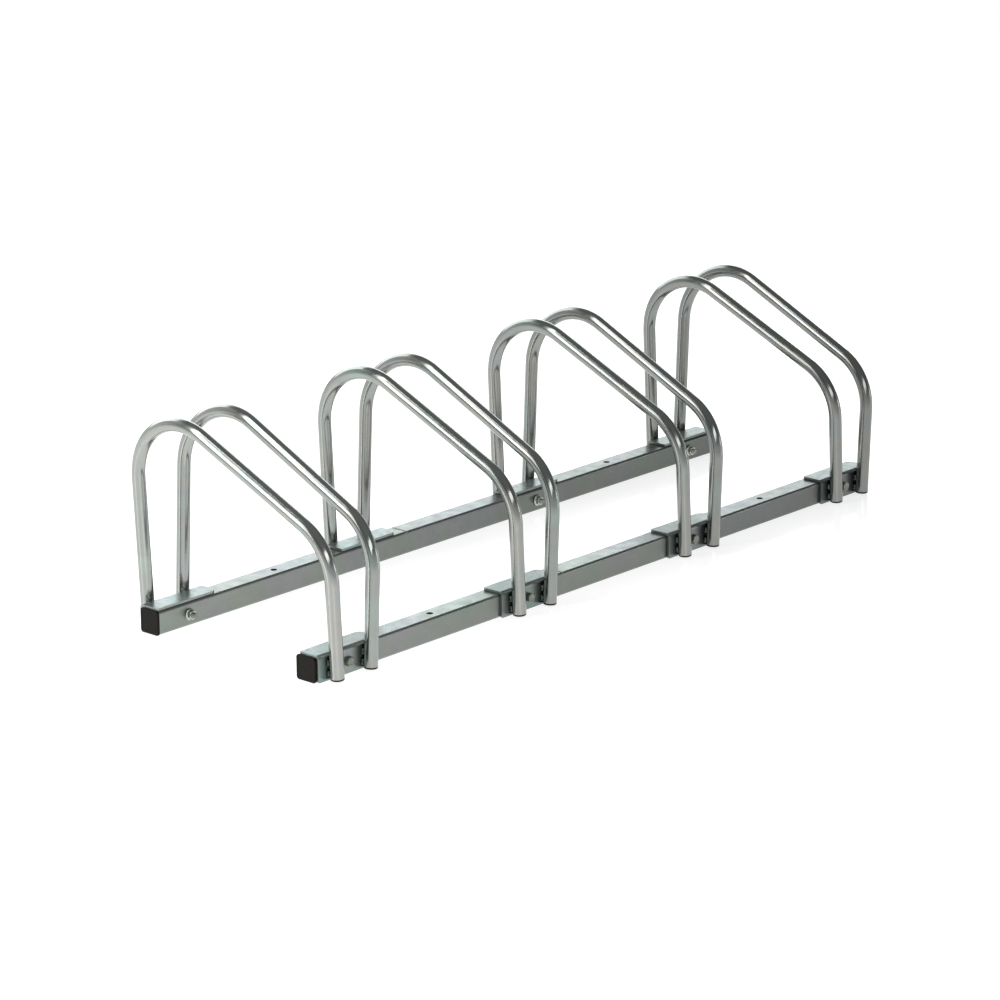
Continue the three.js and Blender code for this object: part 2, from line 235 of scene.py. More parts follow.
zinc_tube = zinc("zinc_tube", TUBE_TINTS, 60 * MM, (0.13, 0.22), 1.0 * MM, (1, 1, 1), 0.16, (1.12, 0.74))
zinc_rail = zinc("zinc_rail", RAIL_TINTS, 90 * MM, (0.26, 0.37), 0.8 * MM, (15, 1, 1), 0.06, (1.25, 0.59))
zinc_sheet = zinc("zinc_sheet", SHEET_TINTS, 40 * MM, (0.29, 0.4), 1.2 * MM, (1, 1, 1), 0.08, (1.12, 0.62))
zinc_bolt = zinc("zinc_bolt", BOLT_TINTS, 6 * MM, (0.3, 0.42), 0.8 * MM, (1, 1, 1), 0.2)
zinc_nut_lightened = zinc("zinc_nut_lightened", LIGHTENED_NUT_TINTS, 6 * MM, (0.26, 0.38), 0.8 * MM, (1, 1, 1), 0.2)
zinc_weld = zinc("zinc_weld", WELD_TINTS, 3 * MM, (0.3, 0.5), 0.9 * MM, (1, 1, 1), 0.5)

# %% [markdown]
# ## Black plastic
#
# Caps and plugs are moulded in black plastic: very dark, a little brown, with a satin skin that is
# finely pitted by the mould. The pits are bump, and colour and roughness vary in small patches.


# %% The plastic
PLASTIC_SHINE = 0.16
WARM_SHINE = (1, 0.92, 0.82, 1)
PIT_SIZE = 0.5 * MM
PIT_RELIEF = 0.15


def moulded_plastic(name, colour, scuffed):
    material = bpy.data.materials.new(name)
    material.use_nodes = True
    tree = material.node_tree
    shader = tree.nodes["Principled BSDF"]
    shader.inputs["Specular IOR Level"].default_value = PLASTIC_SHINE
    shader.inputs["Specular Tint"].default_value = WARM_SHINE
    coordinates = tree.nodes.new("ShaderNodeTexCoord")
    marks = noise_texture(tree, coordinates, 5 * MM, 6)
    colours = ramp(tree, marks.outputs["Fac"], [(0.4, colour), (0.75, scuffed)])
    tree.links.new(colours.outputs["Color"], shader.inputs["Base Color"])
    levels = ramp(tree, marks.outputs["Fac"], [(0.35, (0.38,)), (0.7, (0.55,))])
    tree.links.new(levels.outputs["Color"], shader.inputs["Roughness"])
    pits = noise_texture(tree, coordinates, PIT_SIZE, 2)
    add_relief(tree, pits.outputs["Fac"], PIT_RELIEF, shader)
    return material


black_plastic = moulded_plastic("black_plastic", (0.007, 0.006, 0.005), (0.016, 0.014, 0.012))

# %% [markdown]
# ## From bmesh to a finished piece
#
# Each piece is shaped in a bmesh and then written to a mesh whose object stays at the origin. Smooth
# shading with sharp edges kept by angle gives a tube its roundness and a bracket its crisp rim.

# %% Helpers that finish a piece
SHARP_ANGLE = math.radians(27)


def write_piece(name, shape, material):
    mesh = bpy.data.meshes.new(name)
    shape.to_mesh(mesh)
    shape.free()
    mesh.materials.append(material)
    mesh.shade_smooth()
    mesh.set_sharp_from_angle(angle=SHARP_ANGLE)
    piece = bpy.data.objects.new(name, mesh)
    bpy.context.collection.objects.link(piece)
    return piece


def seat(piece, node=None):
    """The piece rides with the rack and, if node is given, is shown in that node's place."""
    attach(piece, "root")
    if node:
        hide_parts(node)
    return piece


def combine(shape, tool, operation):
    """Joins, cuts or intersects two closed shapes and returns the result. Both are used up."""
    holders = []
    for each in (shape, tool):
        holder = bpy.data.objects.new("holder", bpy.data.meshes.new("holder"))
        each.to_mesh(holder.data)
        each.free()
        bpy.context.collection.objects.link(holder)
        holders.append(holder)
    step = holders[0].modifiers.new("step", "BOOLEAN")
    step.operation, step.object, step.solver = operation, holders[1], "EXACT"
    result = bmesh.new()
    result.from_object(holders[0], bpy.context.evaluated_depsgraph_get())
    for holder in holders:
        mesh = holder.data
        bpy.data.objects.remove(holder)
        bpy.data.meshes.remove(mesh)
    return result


def together(*shapes):
    """Several closed shapes in one, overlapping as they lie. They are used up."""
    result = bmesh.new()
    for shape in shapes:
        mesh = bpy.data.meshes.new("holder")
        shape.to_mesh(mesh)
        shape.free()
        result.from_mesh(mesh)
        bpy.data.meshes.remove(mesh)
    return result


def level_flats(piece):
    """Lets the big flat faces set the shading, so that a rounded edge doesn't make them look swollen."""
    flats = piece.modifiers.new("level_flats", "WEIGHTED_NORMAL")
    flats.keep_sharp = True
    return piece


def moved(shape, *steps):
    """A copy of a shape, moved and turned by those matrices, the last one first."""
    copy = shape.copy()
    matrix = Matrix.Identity(4)
    for step in steps:
        matrix = matrix @ step
    bmesh.ops.transform(copy, matrix=matrix, verts=copy.verts)
    if matrix.determinant() < 0:
        bmesh.ops.reverse_faces(copy, faces=copy.faces)
    return copy


def only(kind, items):
    return [item for item in items if isinstance(item, kind)]


def close_holes(shape):
    bmesh.ops.holes_fill(shape, edges=[edge for edge in shape.edges if edge.is_boundary], sides=0)
    bmesh.ops.recalc_face_normals(shape, faces=shape.faces)


def run_on(shape, ring, step):
    """Draws a ring of edges on by a step, and returns the new ring."""
    made = bmesh.ops.extrude_edge_only(shape, edges=ring)
    bmesh.ops.translate(shape, verts=only(BMVert, made["geom"]), vec=step)
    return only(BMEdge, made["geom"])


def spin_on(shape, ring, centre, turn, steps):
    """Bends a ring of edges on round an axis along X, and returns the new ring."""
    made = bmesh.ops.spin(
        shape, geom=ring, cent=centre, axis=(1, 0, 0), angle=turn, steps=steps,
        use_merge=False, use_duplicate=False,
    )
    return only(BMEdge, made["geom_last"])


def round_corners(shape, corners, radius, steps):
    bmesh.ops.bevel(
        shape, geom=corners, offset=radius, offset_type="OFFSET", affect="VERTICES",
        segments=steps, profile=0.5, material=-1,
    )


# %% [markdown]
# ## The hoops
#
# A hoop starts as a straight tube and goes twice through a bending machine. The same two bends make it
# here: a circle is drawn up the rear leg, spun round the top bend's centre, drawn down the slope, spun
# round the front bend's centre and drawn down the front leg. Spinning gives bends of a true radius with
# even rings, so reflections run smoothly over them. Then the skin gets the tube's wall, and the whole
# hoop is leaned away from the middle of its bay.

# %% Sizes of a hoop in its own plane
TUBE_SIDES = 40
BEND_STEP = math.radians(3)
leg_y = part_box("hoop_1_left")[1].y - TUBE_RADIUS
rack_height = 260 * MM
leg_end = 3.7 * MM
top_line = (rack_height - TUBE_RADIUS) / math.cos(HOOP_SPLAY)
top_centre = Vector((0, leg_y - TOP_BEND, top_line - TOP_BEND))
top_turn = math.pi / 2 + HOOP_SLOPE
front_turn = math.pi / 2 - HOOP_SLOPE


def on_slope(centre, radius):
    """The point where a bend of this centre and radius meets the slope."""
    return centre + radius * Vector((0, math.cos(top_turn), math.sin(top_turn)))


slope_start = on_slope(top_centre, TOP_BEND)
front_y = FRONT_BEND - leg_y
slope_end_y = on_slope(Vector((0, front_y, 0)), FRONT_BEND).y
slope_run = slope_start.y - slope_end_y
slope_step = Vector((0, -slope_run, -slope_run * math.tan(HOOP_SLOPE)))
slope_end = slope_start + slope_step
front_centre = Vector((0, front_y, slope_end.z - FRONT_BEND * math.sin(top_turn)))
print("slope", round(slope_step.length / MM, 1), "mm long, front bend's centre", front_centre)


# %% Bend the hoops
def leaned(x, hand):
    """Leans a hoop's plane away from the middle of its bay, about the line x on the floor."""
    return Matrix.Translation((x, 0, 0)) @ Matrix.Rotation(hand * HOOP_SPLAY, 4, "Y")


def hoop(name, x, hand):
    shape = bmesh.new()
    made = bmesh.ops.create_circle(
        shape, cap_ends=False, segments=TUBE_SIDES, radius=TUBE_RADIUS,
        matrix=Matrix.Translation((0, leg_y, leg_end)),
    )
    ring = list({edge for vert in made["verts"] for edge in vert.link_edges})
    ring = run_on(shape, ring, Vector((0, 0, top_centre.z - leg_end)))
    ring = spin_on(shape, ring, top_centre, top_turn, math.ceil(top_turn / BEND_STEP))
    ring = run_on(shape, ring, slope_step)
    ring = spin_on(shape, ring, front_centre, front_turn, math.ceil(front_turn / BEND_STEP))
    run_on(shape, ring, Vector((0, 0, leg_end - front_centre.z)))
    bmesh.ops.recalc_face_normals(shape, faces=shape.faces)
    bmesh.ops.solidify(shape, geom=shape.faces[:], thickness=TUBE_WALL)
    bmesh.ops.transform(shape, matrix=leaned(x, hand), verts=shape.verts)
    return seat(write_piece(name + "_finished", shape, zinc_tube), name)


for bay in BAYS:
    for which, hand in HANDS.items():
        hoop(f"hoop_{bay}_{which}", bay_x[bay] + hand * HOOP_SPACING / 2, hand)
print("hoops bent")

# %% [markdown]
# ## The rails
#
# Each rail is two lengths of square tube with rolled corners. The right-hand length is swaged: a die
# squeezes its end down to a neck that slides into the left-hand length, so all that shows is a fine
# groove and a taper. A grid of one square with its corners bevelled makes the tube's outline. It is
# drawn along X, squeezed where the swage is and given its wall. Drills then cut the bolt and anchor holes.

# %% An outline for square tube, and a drill
CORNER_STEPS = 6
NECK_HALF = 12.2 * MM
SWAGE_TAPER = 3 * MM
ANCHOR_HOLE = 4 * MM
BOLT_HOLE = 3.35 * MM
FACE_X = Matrix.Rotation(math.pi / 2, 4, "Y")
FACE_Y = Matrix.Rotation(-math.pi / 2, 4, "X")


def rounded_square(half, corner, x):
    """A flat face with rounded corners, square to X."""
    shape = bmesh.new()
    place = Matrix.Translation((x, 0, 0)) @ FACE_X
    bmesh.ops.create_grid(shape, x_segments=1, y_segments=1, size=half, matrix=place)
    round_corners(shape, shape.verts[:], corner, CORNER_STEPS)
    return shape


def drill(radius, length, turn, place):
    tool = bmesh.new()
    bmesh.ops.create_cone(
        tool, cap_ends=True, segments=32, radius1=radius, radius2=radius, depth=length,
        matrix=Matrix.Translation(place) @ turn,
    )
    return tool


# %% Draw, squeeze and drill the rails
def rail_length(far_x, near_x, swaged, holes):
    """A length of square tube about its own centre line, from its cap's end to its other end."""
    shape = rounded_square(rail_half, RAIL_CORNER, far_x)
    bmesh.ops.delete(shape, geom=shape.faces[:], context="FACES_ONLY")
    ring = shape.edges[:]
    if swaged:
        seam, neck_end = near_x
        ring = run_on(shape, ring, Vector((seam + SWAGE_TAPER - far_x, 0, 0)))
        ring = run_on(shape, ring, Vector((-SWAGE_TAPER, 0, 0)))
        squeeze = NECK_HALF / rail_half
        neck = list({vert for edge in ring for vert in edge.verts})
        bmesh.ops.scale(shape, vec=(1, squeeze, squeeze), verts=neck)
        run_on(shape, ring, Vector((neck_end - seam, 0, 0)))
    else:
        run_on(shape, ring, Vector((near_x - far_x, 0, 0)))
    bmesh.ops.recalc_face_normals(shape, faces=shape.faces)
    bmesh.ops.solidify(shape, geom=shape.faces[:], thickness=RAIL_WALL)
    for x, radius, turn in holes:
        shape = combine(shape, drill(radius, 4 * rail_half, turn, (x, 0, 0)), "DIFFERENCE")
    return shape


seam_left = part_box("rail_front_left")[1].x
neck_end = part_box("rail_front_right")[0].x
UPRIGHT = Matrix.Identity(4)
left_holes = [(bay_x[bay], BOLT_HOLE, FACE_Y) for bay in (1, 2)]
left_holes.append(((bay_x[1] + bay_x[2]) / 2, ANCHOR_HOLE, UPRIGHT))
right_holes = [(bay_x[bay], BOLT_HOLE, FACE_Y) for bay in (2, 3, 4)]
right_holes.append(((bay_x[3] + bay_x[4]) / 2, ANCHOR_HOLE, UPRIGHT))
left_length = rail_length(-rail_end, seam_left, False, left_holes)
right_length = rail_length(rail_end, (seam_left + SEAT_GAP, neck_end), True, right_holes)

for where, end in ENDS.items():
    to_rail = Matrix.Translation((0, end * rail_y, rail_height))
    for which, length in (("left", left_length), ("right", right_length)):
        name = f"rail_{where}_{which}"
        rail = write_piece(name + "_finished", moved(length, to_rail), zinc_rail)
        seat(level_flats(rail), name)
print("rails drawn, groove at", round(seam_left / MM), "mm")

# %% [markdown]
# ## End caps
#
# A cap is a moulded plug with a hollow stub inside the tube and a flange that covers its cut end. The
# mould gives the flange a rounded rim and, in its middle, a very shallow recess. The face of a rounded
# square is extruded to the flange, its rim bevelled and its middle inset. The stub grows from the other
# side.

# %% Mould the end caps
CAP_HALF = 14.5 * MM
CAP_CORNER = 3.5 * MM
CAP_FLANGE = 2.7 * MM
CAP_RIM = 1.0 * MM
CAP_BORDER = 1.6 * MM
RECESS_SLOPE = 0.35 * MM
RECESS_DEPTH = 0.3 * MM
CAP_STUB = 16 * MM
CAP_WALL = 2 * MM
STUB_FLOOR = 1 * MM
SAME_WAY = 0.99


def pull(shape, faces, step):
    """Extrudes faces by a step and returns the new faces."""
    made = bmesh.ops.extrude_face_region(shape, geom=faces)
    bmesh.ops.delete(shape, geom=faces, context="FACES_ONLY")
    bmesh.ops.translate(shape, verts=only(BMVert, made["geom"]), vec=step)
    return only(BMFace, made["geom"])


def inset(shape, faces, thickness, depth=0.0):
    """Draws faces in from their rim, and in or out by a depth, and returns them."""
    bmesh.ops.inset_region(shape, faces=faces, thickness=thickness, depth=depth, use_even_offset=True)
    return faces


def faces_towards(shape, direction):
    shape.normal_update()
    return [face for face in shape.faces if face.normal.dot(direction) > SAME_WAY]


OUTWARDS = Vector((1, 0, 0))
cap_shape = rounded_square(CAP_HALF, CAP_CORNER, SEAT_GAP)
pull(cap_shape, cap_shape.faces[:], Vector((CAP_FLANGE, 0, 0)))
close_holes(cap_shape)
rim = [edge for face in faces_towards(cap_shape, OUTWARDS) for edge in face.edges]
bmesh.ops.bevel(cap_shape, geom=rim, offset=CAP_RIM, affect="EDGES", segments=4, profile=0.5, material=-1)
middle_face = inset(cap_shape, faces_towards(cap_shape, OUTWARDS), CAP_BORDER)
inset(cap_shape, middle_face, RECESS_SLOPE, -RECESS_DEPTH)
stub = inset(cap_shape, faces_towards(cap_shape, -OUTWARDS), CAP_HALF - NECK_HALF)
stub = pull(cap_shape, stub, Vector((-CAP_STUB - SEAT_GAP, 0, 0)))
stub = inset(cap_shape, stub, CAP_WALL)
pull(cap_shape, stub, Vector((CAP_STUB - STUB_FLOOR, 0, 0)))

for where, end in ENDS.items():
    for which, hand in HANDS.items():
        name = f"end_cap_{where}_{which}"
        facing = Matrix.Identity(4) if hand > 0 else Matrix.Rotation(math.pi, 4, "Z")
        place = Matrix.Translation((hand * rail_end, end * rail_y, rail_height))
        cap = write_piece(name + "_finished", moved(cap_shape, place, facing), black_plastic)
        seat(level_flats(cap), name)
print("end caps", [round(v / MM, 1) for v in middle("end_cap_front_left")], "mm")

# %% [markdown]
# ## Leg plugs
#
# A thin black disc closes each leg, pressed in by a short hollow stub. It is turned, so its profile is
# spun round the leg's axis and then leaned with the leg.

# %% Turn the leg plugs
FOOT_UNDERSIDE = 1.405 * MM
PLUG_FOOT = 2.0
PLUG_TOP = 14.0
PLUG_FLOOR = 2.4
PLUG_PROFILE = (
    (0, 0), (6.6, 0), (7.3, 0.15), (7.8, 0.6), (7.9, 1.2), (7.9, PLUG_FOOT), (6.4, PLUG_FOOT),
    (6.3, PLUG_TOP), (4.8, PLUG_TOP), (4.7, PLUG_FLOOR), (0, PLUG_FLOOR),
)
TURNED_STEPS = 40
SAME_POINT = 0.001 * MM


def turned(profile):
    """A body turned about Z from a profile of radii and heights in millimetres."""
    shape = bmesh.new()
    corners = [shape.verts.new((radius * MM, 0, height * MM)) for radius, height in profile]
    line = [shape.edges.new(pair) for pair in zip(corners, corners[1:])]
    bmesh.ops.spin(
        shape, geom=corners + line, cent=(0, 0, 0), axis=(0, 0, 1), angle=2 * math.pi,
        steps=TURNED_STEPS, use_merge=True,
    )
    bmesh.ops.remove_doubles(shape, verts=shape.verts, dist=SAME_POINT)
    bmesh.ops.recalc_face_normals(shape, faces=shape.faces)
    return shape


plug_shape = turned(PLUG_PROFILE)
for bay in BAYS:
    for which, hand in HANDS.items():
        lean = leaned(bay_x[bay] + hand * HOOP_SPACING / 2, hand)
        for where, end in ENDS.items():
            name = f"leg_plug_{bay}_{which}_{where}"
            foot = Matrix.Translation((0, end * leg_y, FOOT_UNDERSIDE))
            plug = write_piece(name + "_finished", moved(plug_shape, lean, foot), black_plastic)
            seat(plug, name)
print("leg plugs turned")

# %% [markdown]
# ## The brackets
#
# A press folds each bracket from 3 mm sheet: one flange stands outside the rail and carries the legs, the
# other lies on the rail's top. An edge as long as the bracket is drawn up, spun round the bend and drawn
# inwards, which is how the press moves the steel. Its corners are rounded while it is still one skin, so
# that the wall follows them. A small bevel takes the sharpness off the sheared edges.

# %% Fold the brackets
SHEET = 3 * MM
INSIDE_BEND = 1.5 * MM
BRACKET_HALF = 47 * MM
BRACKET_INNER = rail_half + SEAT_GAP
FREE_EDGE = rail_half - 2.5 * MM
FREE_CORNER = 9 * MM
SHARP_CORNER = 1.2 * MM
LOW_CORNER = 1.5 * MM
BEND_STEPS = 8
SHEARED_EDGE = 0.4 * MM
SHEARED_ANGLE = math.radians(50)
DRILL_LENGTH = 0.1

bend_centre = BRACKET_INNER - INSIDE_BEND
sheet = bmesh.new()
low_ends = [sheet.verts.new((x, BRACKET_INNER, -rail_half)) for x in (BRACKET_HALF, -BRACKET_HALF)]
low_edge = sheet.edges.new(low_ends)
fold = run_on(sheet, [low_edge], Vector((0, 0, rail_half + bend_centre)))
fold = spin_on(sheet, fold, (0, bend_centre, bend_centre), math.pi / 2, BEND_STEPS)
free_edge = run_on(sheet, fold, Vector((0, -FREE_EDGE - bend_centre, 0)))
for radius, corner in (
    (FREE_CORNER, max(free_edge[0].verts, key=lambda vert: vert.co.x)),
    (SHARP_CORNER, min(free_edge[0].verts, key=lambda vert: vert.co.x)),
    (LOW_CORNER, low_edge.verts[0]),
    (LOW_CORNER, low_edge.verts[1]),
):
    round_corners(sheet, [corner], radius, BEND_STEPS)
bmesh.ops.recalc_face_normals(sheet, faces=sheet.faces)
top_face = max(sheet.faces, key=lambda face: face.calc_center_median().z)
if top_face.normal.z < 0:
    bmesh.ops.reverse_faces(sheet, faces=sheet.faces)
bmesh.ops.solidify(sheet, geom=sheet.faces[:], thickness=-SHEET)
sheet = combine(sheet, drill(BOLT_HOLE, DRILL_LENGTH, FACE_Y, (0, 0, 0)), "DIFFERENCE")


def sheared(piece):
    edge = piece.modifiers.new("sheared_edge", "BEVEL")
    edge.width, edge.segments, edge.limit_method = SHEARED_EDGE, 2, "ANGLE"
    edge.angle_limit = SHEARED_ANGLE
    return level_flats(piece)


for where, end in ENDS.items():
    for bay in BAYS:
        name = f"bracket_{where}_{bay}"
        place = Matrix.Translation((bay_x[bay], end * rail_y, rail_height))
        facing = Matrix.Diagonal((1, end, 1, 1))
        bracket = write_piece(name + "_finished", moved(sheet, place, facing), zinc_sheet)
        seat(sheared(bracket), name)
mesh_box = [vert.co for vert in bpy.data.objects["bracket_rear_1_finished"].data.vertices]
print("finished   ", [[round(pick(v[i] for v in mesh_box) / MM, 1) for i in range(3)] for pick in (min, max)])

# %% [markdown]
# ## Bolts and nuts
#
# The fixings are an M6 hexagon bolt and a flange nut. A hexagon becomes a bolt head when its corners are
# chamfered by a cone, as they are on a lathe, so a hexagonal prism is intersected with a turned blank.
# The thread that shows past the nut is a zigzag spun upwards by one pitch a turn: its end meets its own
# start one thread higher, and the seam closes when doubled points are merged.

# %% Shape one bolt and one nut
HEX_HALF = 5.0
HEAD_HEIGHT = 4.0
SHANK_RADIUS = 3.0
THREAD_DEPTH = 0.5
PITCH = 1.0
THREADS = 14
NUT_HEIGHT = 6.0
BLANK_RADIUS = 6.2
FLANGE_RADIUS = 7.0
BORE_RADIUS = 3.1
GRIP_AND_NUT = 41.9
THREAD_START = 12 - GRIP_AND_NUT
HEAD_PROFILE = (
    (0, -1), (BLANK_RADIUS, -1), (BLANK_RADIUS, 3.3), (5.0, 3.9),
    (4.8, HEAD_HEIGHT), (3.4, HEAD_HEIGHT), (3.0, 3.75), (0, 3.7),
)
SHANK_PROFILE = ((0, THREAD_START), (2.7, THREAD_START), (2.9, 12.4 - GRIP_AND_NUT), (2.9, 0.2), (0, 0.2))
THREAD_END_PROFILE = (
    (0, -GRIP_AND_NUT), (2.3, -GRIP_AND_NUT), (3.1, 0.8 - GRIP_AND_NUT),
    (3.1, 12.5 - GRIP_AND_NUT), (0, 12.5 - GRIP_AND_NUT),
)
NUT_PROFILE = ((0, -1), (BLANK_RADIUS, -1), (BLANK_RADIUS, 4.9), (4.7, NUT_HEIGHT), (0, NUT_HEIGHT))
FLANGE_PROFILE = (
    (0, 0), (6.8, 0), (FLANGE_RADIUS, 0.3), (FLANGE_RADIUS, 0.9), (6.7, 1.2), (5.2, 2.0), (0, 2.0),
)
BORE_PROFILE = ((0, -1), (BORE_RADIUS, -1), (BORE_RADIUS, 5.5), (3.6, 6.1), (3.6, 7), (0, 7))


def hexagon(height):
    shape = bmesh.new()
    to_corner = HEX_HALF * MM / math.cos(math.pi / 6)
    bmesh.ops.create_cone(
        shape, cap_ends=True, segments=6, radius1=to_corner, radius2=to_corner, depth=height * MM,
        matrix=Matrix.Translation((0, 0, height * MM / 2)),
    )
    return shape


bolt_shape = combine(hexagon(HEAD_HEIGHT + 1), turned(HEAD_PROFILE), "INTERSECT")

thread = bmesh.new()
zigzag = []
for turn in range(THREADS + 1):
    zigzag.append(thread.verts.new(((SHANK_RADIUS - THREAD_DEPTH) * MM, 0, turn * PITCH * MM)))
    if turn < THREADS:
        zigzag.append(thread.verts.new((SHANK_RADIUS * MM, 0, (turn + 0.5) * PITCH * MM)))
flanks = [thread.edges.new(pair) for pair in zip(zigzag, zigzag[1:])]
THREAD_STEPS = 24
THREAD_SEAM = 0.01 * MM
bmesh.ops.spin(
    thread, geom=zigzag + flanks, cent=(0, 0, 0), axis=(0, 0, 1), angle=2 * math.pi, steps=THREAD_STEPS,
    dvec=(0, 0, PITCH * MM / THREAD_STEPS), use_merge=False,
)
bmesh.ops.remove_doubles(thread, verts=thread.verts, dist=THREAD_SEAM)
close_holes(thread)
bmesh.ops.translate(thread, verts=thread.verts, vec=(0, 0, -(GRIP_AND_NUT + 1) * MM))
thread = combine(thread, turned(THREAD_END_PROFILE), "INTERSECT")
bolt_shape = together(bolt_shape, turned(SHANK_PROFILE), thread)

nut_shape = combine(hexagon(NUT_HEIGHT), turned(NUT_PROFILE), "INTERSECT")
nut_shape = combine(nut_shape, turned(FLANGE_PROFILE), "UNION")
nut_shape = combine(nut_shape, turned(BORE_PROFILE), "DIFFERENCE")
print("bolt has", len(bolt_shape.faces), "faces, nut has", len(nut_shape.faces))

# %% Fit the bolts and nuts
HEAD_SEAT = 17.6 * MM
NUT_SEAT = 14.3 * MM
TURN_PER_BAY = 37
TURN_PER_END = 11
for where, end in ENDS.items():
    for bay in BAYS:
        centre = Matrix.Translation((bay_x[bay], end * rail_y, rail_height))
        outwards = Matrix.Rotation(-end * math.pi / 2, 4, "X")
        inwards = Matrix.Rotation(end * math.pi / 2, 4, "X")
        wrench = Matrix.Rotation(math.radians(TURN_PER_BAY * bay + TURN_PER_END * end), 4, "Z")
        for kind, fitting, finish, turn, seat_at in (
            ("bolt", bolt_shape, zinc_bolt, outwards, HEAD_SEAT),
            ("nut", nut_shape, zinc_nut_lightened, inwards, NUT_SEAT),
        ):
            name = f"{kind}_{where}_{bay}"
            fixing = moved(fitting, centre, turn, Matrix.Translation((0, 0, seat_at)), wrench)
            fixed = write_piece(name + "_finished", fixing, finish)
            seat(level_flats(fixed), name)
print("bolts and nuts fitted")

# %% [markdown]
# ## Weld beads
#
# Two short beads on either side of each leg hold it to its bracket. A bead is a row of small puddles that
# froze one after another, so it is a row of flattened balls that overlap, lying in the wedge between the
# round leg and the flat flange.

# %% Lay the beads
BEAD_HEIGHTS = (9 * MM, 21 * MM)
PUDDLES = 4
PUDDLE_PITCH = 1.5 * MM
PUDDLE = (1.9 * MM, 1.7 * MM, 1.3 * MM)
BEAD_ASIDE = 6.0 * MM
BEAD_OUT = 3.0 * MM
WANDER = 0.25 * MM
GROWTH = 0.12
flange_face = rail_y + BRACKET_INNER + SHEET

for where, end in ENDS.items():
    for bay in BAYS:
        beads = bmesh.new()
        for hand in HANDS.values():
            for side in (-1, 1):
                for height in BEAD_HEIGHTS:
                    for puddle in range(PUDDLES):
                        z = height + (puddle - (PUDDLES - 1) / 2) * PUDDLE_PITCH
                        lean_x = hand * (HOOP_SPACING / 2 + z * math.tan(HOOP_SPLAY))
                        wander = WANDER * math.sin(2.1 * puddle + 5 * hand + 3 * side + bay)
                        grow = 1 + GROWTH * math.sin(1.7 * puddle + 2 * bay + hand + side)
                        x = bay_x[bay] + lean_x + side * BEAD_ASIDE + wander
                        place = Vector((x, end * (flange_face + BEAD_OUT / 2), z))
                        bmesh.ops.create_uvsphere(
                            beads, u_segments=12, v_segments=8, radius=grow,
                            matrix=Matrix.Translation(place) @ Matrix.Diagonal((*PUDDLE, 1)),
                        )
        seat(write_piece(f"weld_beads_{where}_{bay}", beads, zinc_weld))
print("beads laid")

# %% [markdown]
# ## Paper floor
#
# Bright metal has hardly a colour of its own: it shows the room. So the room is built first, and the
# floor is most of it. It is white paper. In the photograph it is burnt out to pure white, so besides its
# diffuse part it glows a little for the camera, and equally for reflections, which makes the legs show the
# same white paper. That glow is painted stronger under the left lamp, a painted pool of light, so the paper
# is brightest there. Only the diffuse part darkens in a shadow, which keeps the shadow soft. The paper is
# coated, so at a low angle it also shines a little: that draws the lamps as pale upright streaks on the legs.

# %% The floor
FLOOR_SIZE = 60
PAINTED_POOL_GLOW = 1.15
FLOOR_GLOW = 0.96
LAMP_END = -0.9
DIM_END = 0.7
PAPER_GREY = (0.45, 0.45, 0.45, 1)
PAPER_SHEEN = 0.12
PAPER_COATING = 1.6


def seen_directly_or_in_metal(tree):
    """One for camera, glossy and transmission rays, nought for the others."""
    path = tree.nodes.new("ShaderNodeLightPath")
    total = path.outputs["Is Camera Ray"]
    for ray in ("Is Glossy Ray", "Is Transmission Ray"):
        either = tree.nodes.new("ShaderNodeMath")
        either.operation = "MAXIMUM"
        tree.links.new(total, either.inputs[0])
        tree.links.new(path.outputs[ray], either.inputs[1])
        total = either.outputs["Value"]
    return total


floor_shape = bmesh.new()
bmesh.ops.create_grid(floor_shape, x_segments=1, y_segments=1, size=FLOOR_SIZE / 2)
paper = bpy.data.materials.new("white_paper")
paper.use_nodes = True
tree = paper.node_tree
tree.nodes.remove(tree.nodes["Principled BSDF"])
diffuse = tree.nodes.new("ShaderNodeBsdfDiffuse")
diffuse.inputs["Color"].default_value = PAPER_GREY
glow = tree.nodes.new("ShaderNodeEmission")
coordinates = tree.nodes.new("ShaderNodeTexCoord")
places = tree.nodes.new("ShaderNodeSeparateXYZ")
tree.links.new(coordinates.outputs["Object"], places.inputs["Vector"])
# Painted pool of light: the glow is painted stronger towards the left lamp and weaker towards the right.
painted_pool_fall_off = map_range(tree, places.outputs["X"], LAMP_END, DIM_END, PAINTED_POOL_GLOW, FLOOR_GLOW)
painted_pool_fall_off.interpolation_type = "SMOOTHSTEP"
strength = tree.nodes.new("ShaderNodeMath")
strength.operation = "MULTIPLY"
tree.links.new(painted_pool_fall_off.outputs["Result"], strength.inputs[0])
tree.links.new(seen_directly_or_in_metal(tree), strength.inputs[1])
tree.links.new(strength.outputs["Value"], glow.inputs["Strength"])
both = tree.nodes.new("ShaderNodeAddShader")
tree.links.new(diffuse.outputs["BSDF"], both.inputs[0])
tree.links.new(glow.outputs["Emission"], both.inputs[1])
sheen = tree.nodes.new("ShaderNodeBsdfGlossy")
sheen.inputs["Roughness"].default_value = PAPER_SHEEN
grazing = tree.nodes.new("ShaderNodeFresnel")
grazing.inputs["IOR"].default_value = PAPER_COATING
coated = tree.nodes.new("ShaderNodeMixShader")
tree.links.new(grazing.outputs["Fac"], coated.inputs["Fac"])
tree.links.new(both.outputs["Shader"], coated.inputs[1])
tree.links.new(sheen.outputs["BSDF"], coated.inputs[2])
tree.links.new(coated.outputs["Shader"], tree.nodes["Material Output"].inputs["Surface"])
floor = write_piece("floor", floor_shape, paper)

# %% [markdown]
# ## Soft boxes
#
# Soft boxes stand round the rack: a tall one at its left end with a fill beside it, a low wide one
# behind the camera, a small one low on the right and two broad ones behind the rack. Each tube shows
# them as bright stripes, narrow where it bends, and the rails' tops show those behind. Their sizes are
# given as the angles they fill, seen from the rack.


# %% The lamps
LAMP_DISTANCE = 6.0
WATTS_PER_SQUARE_METRE = 4


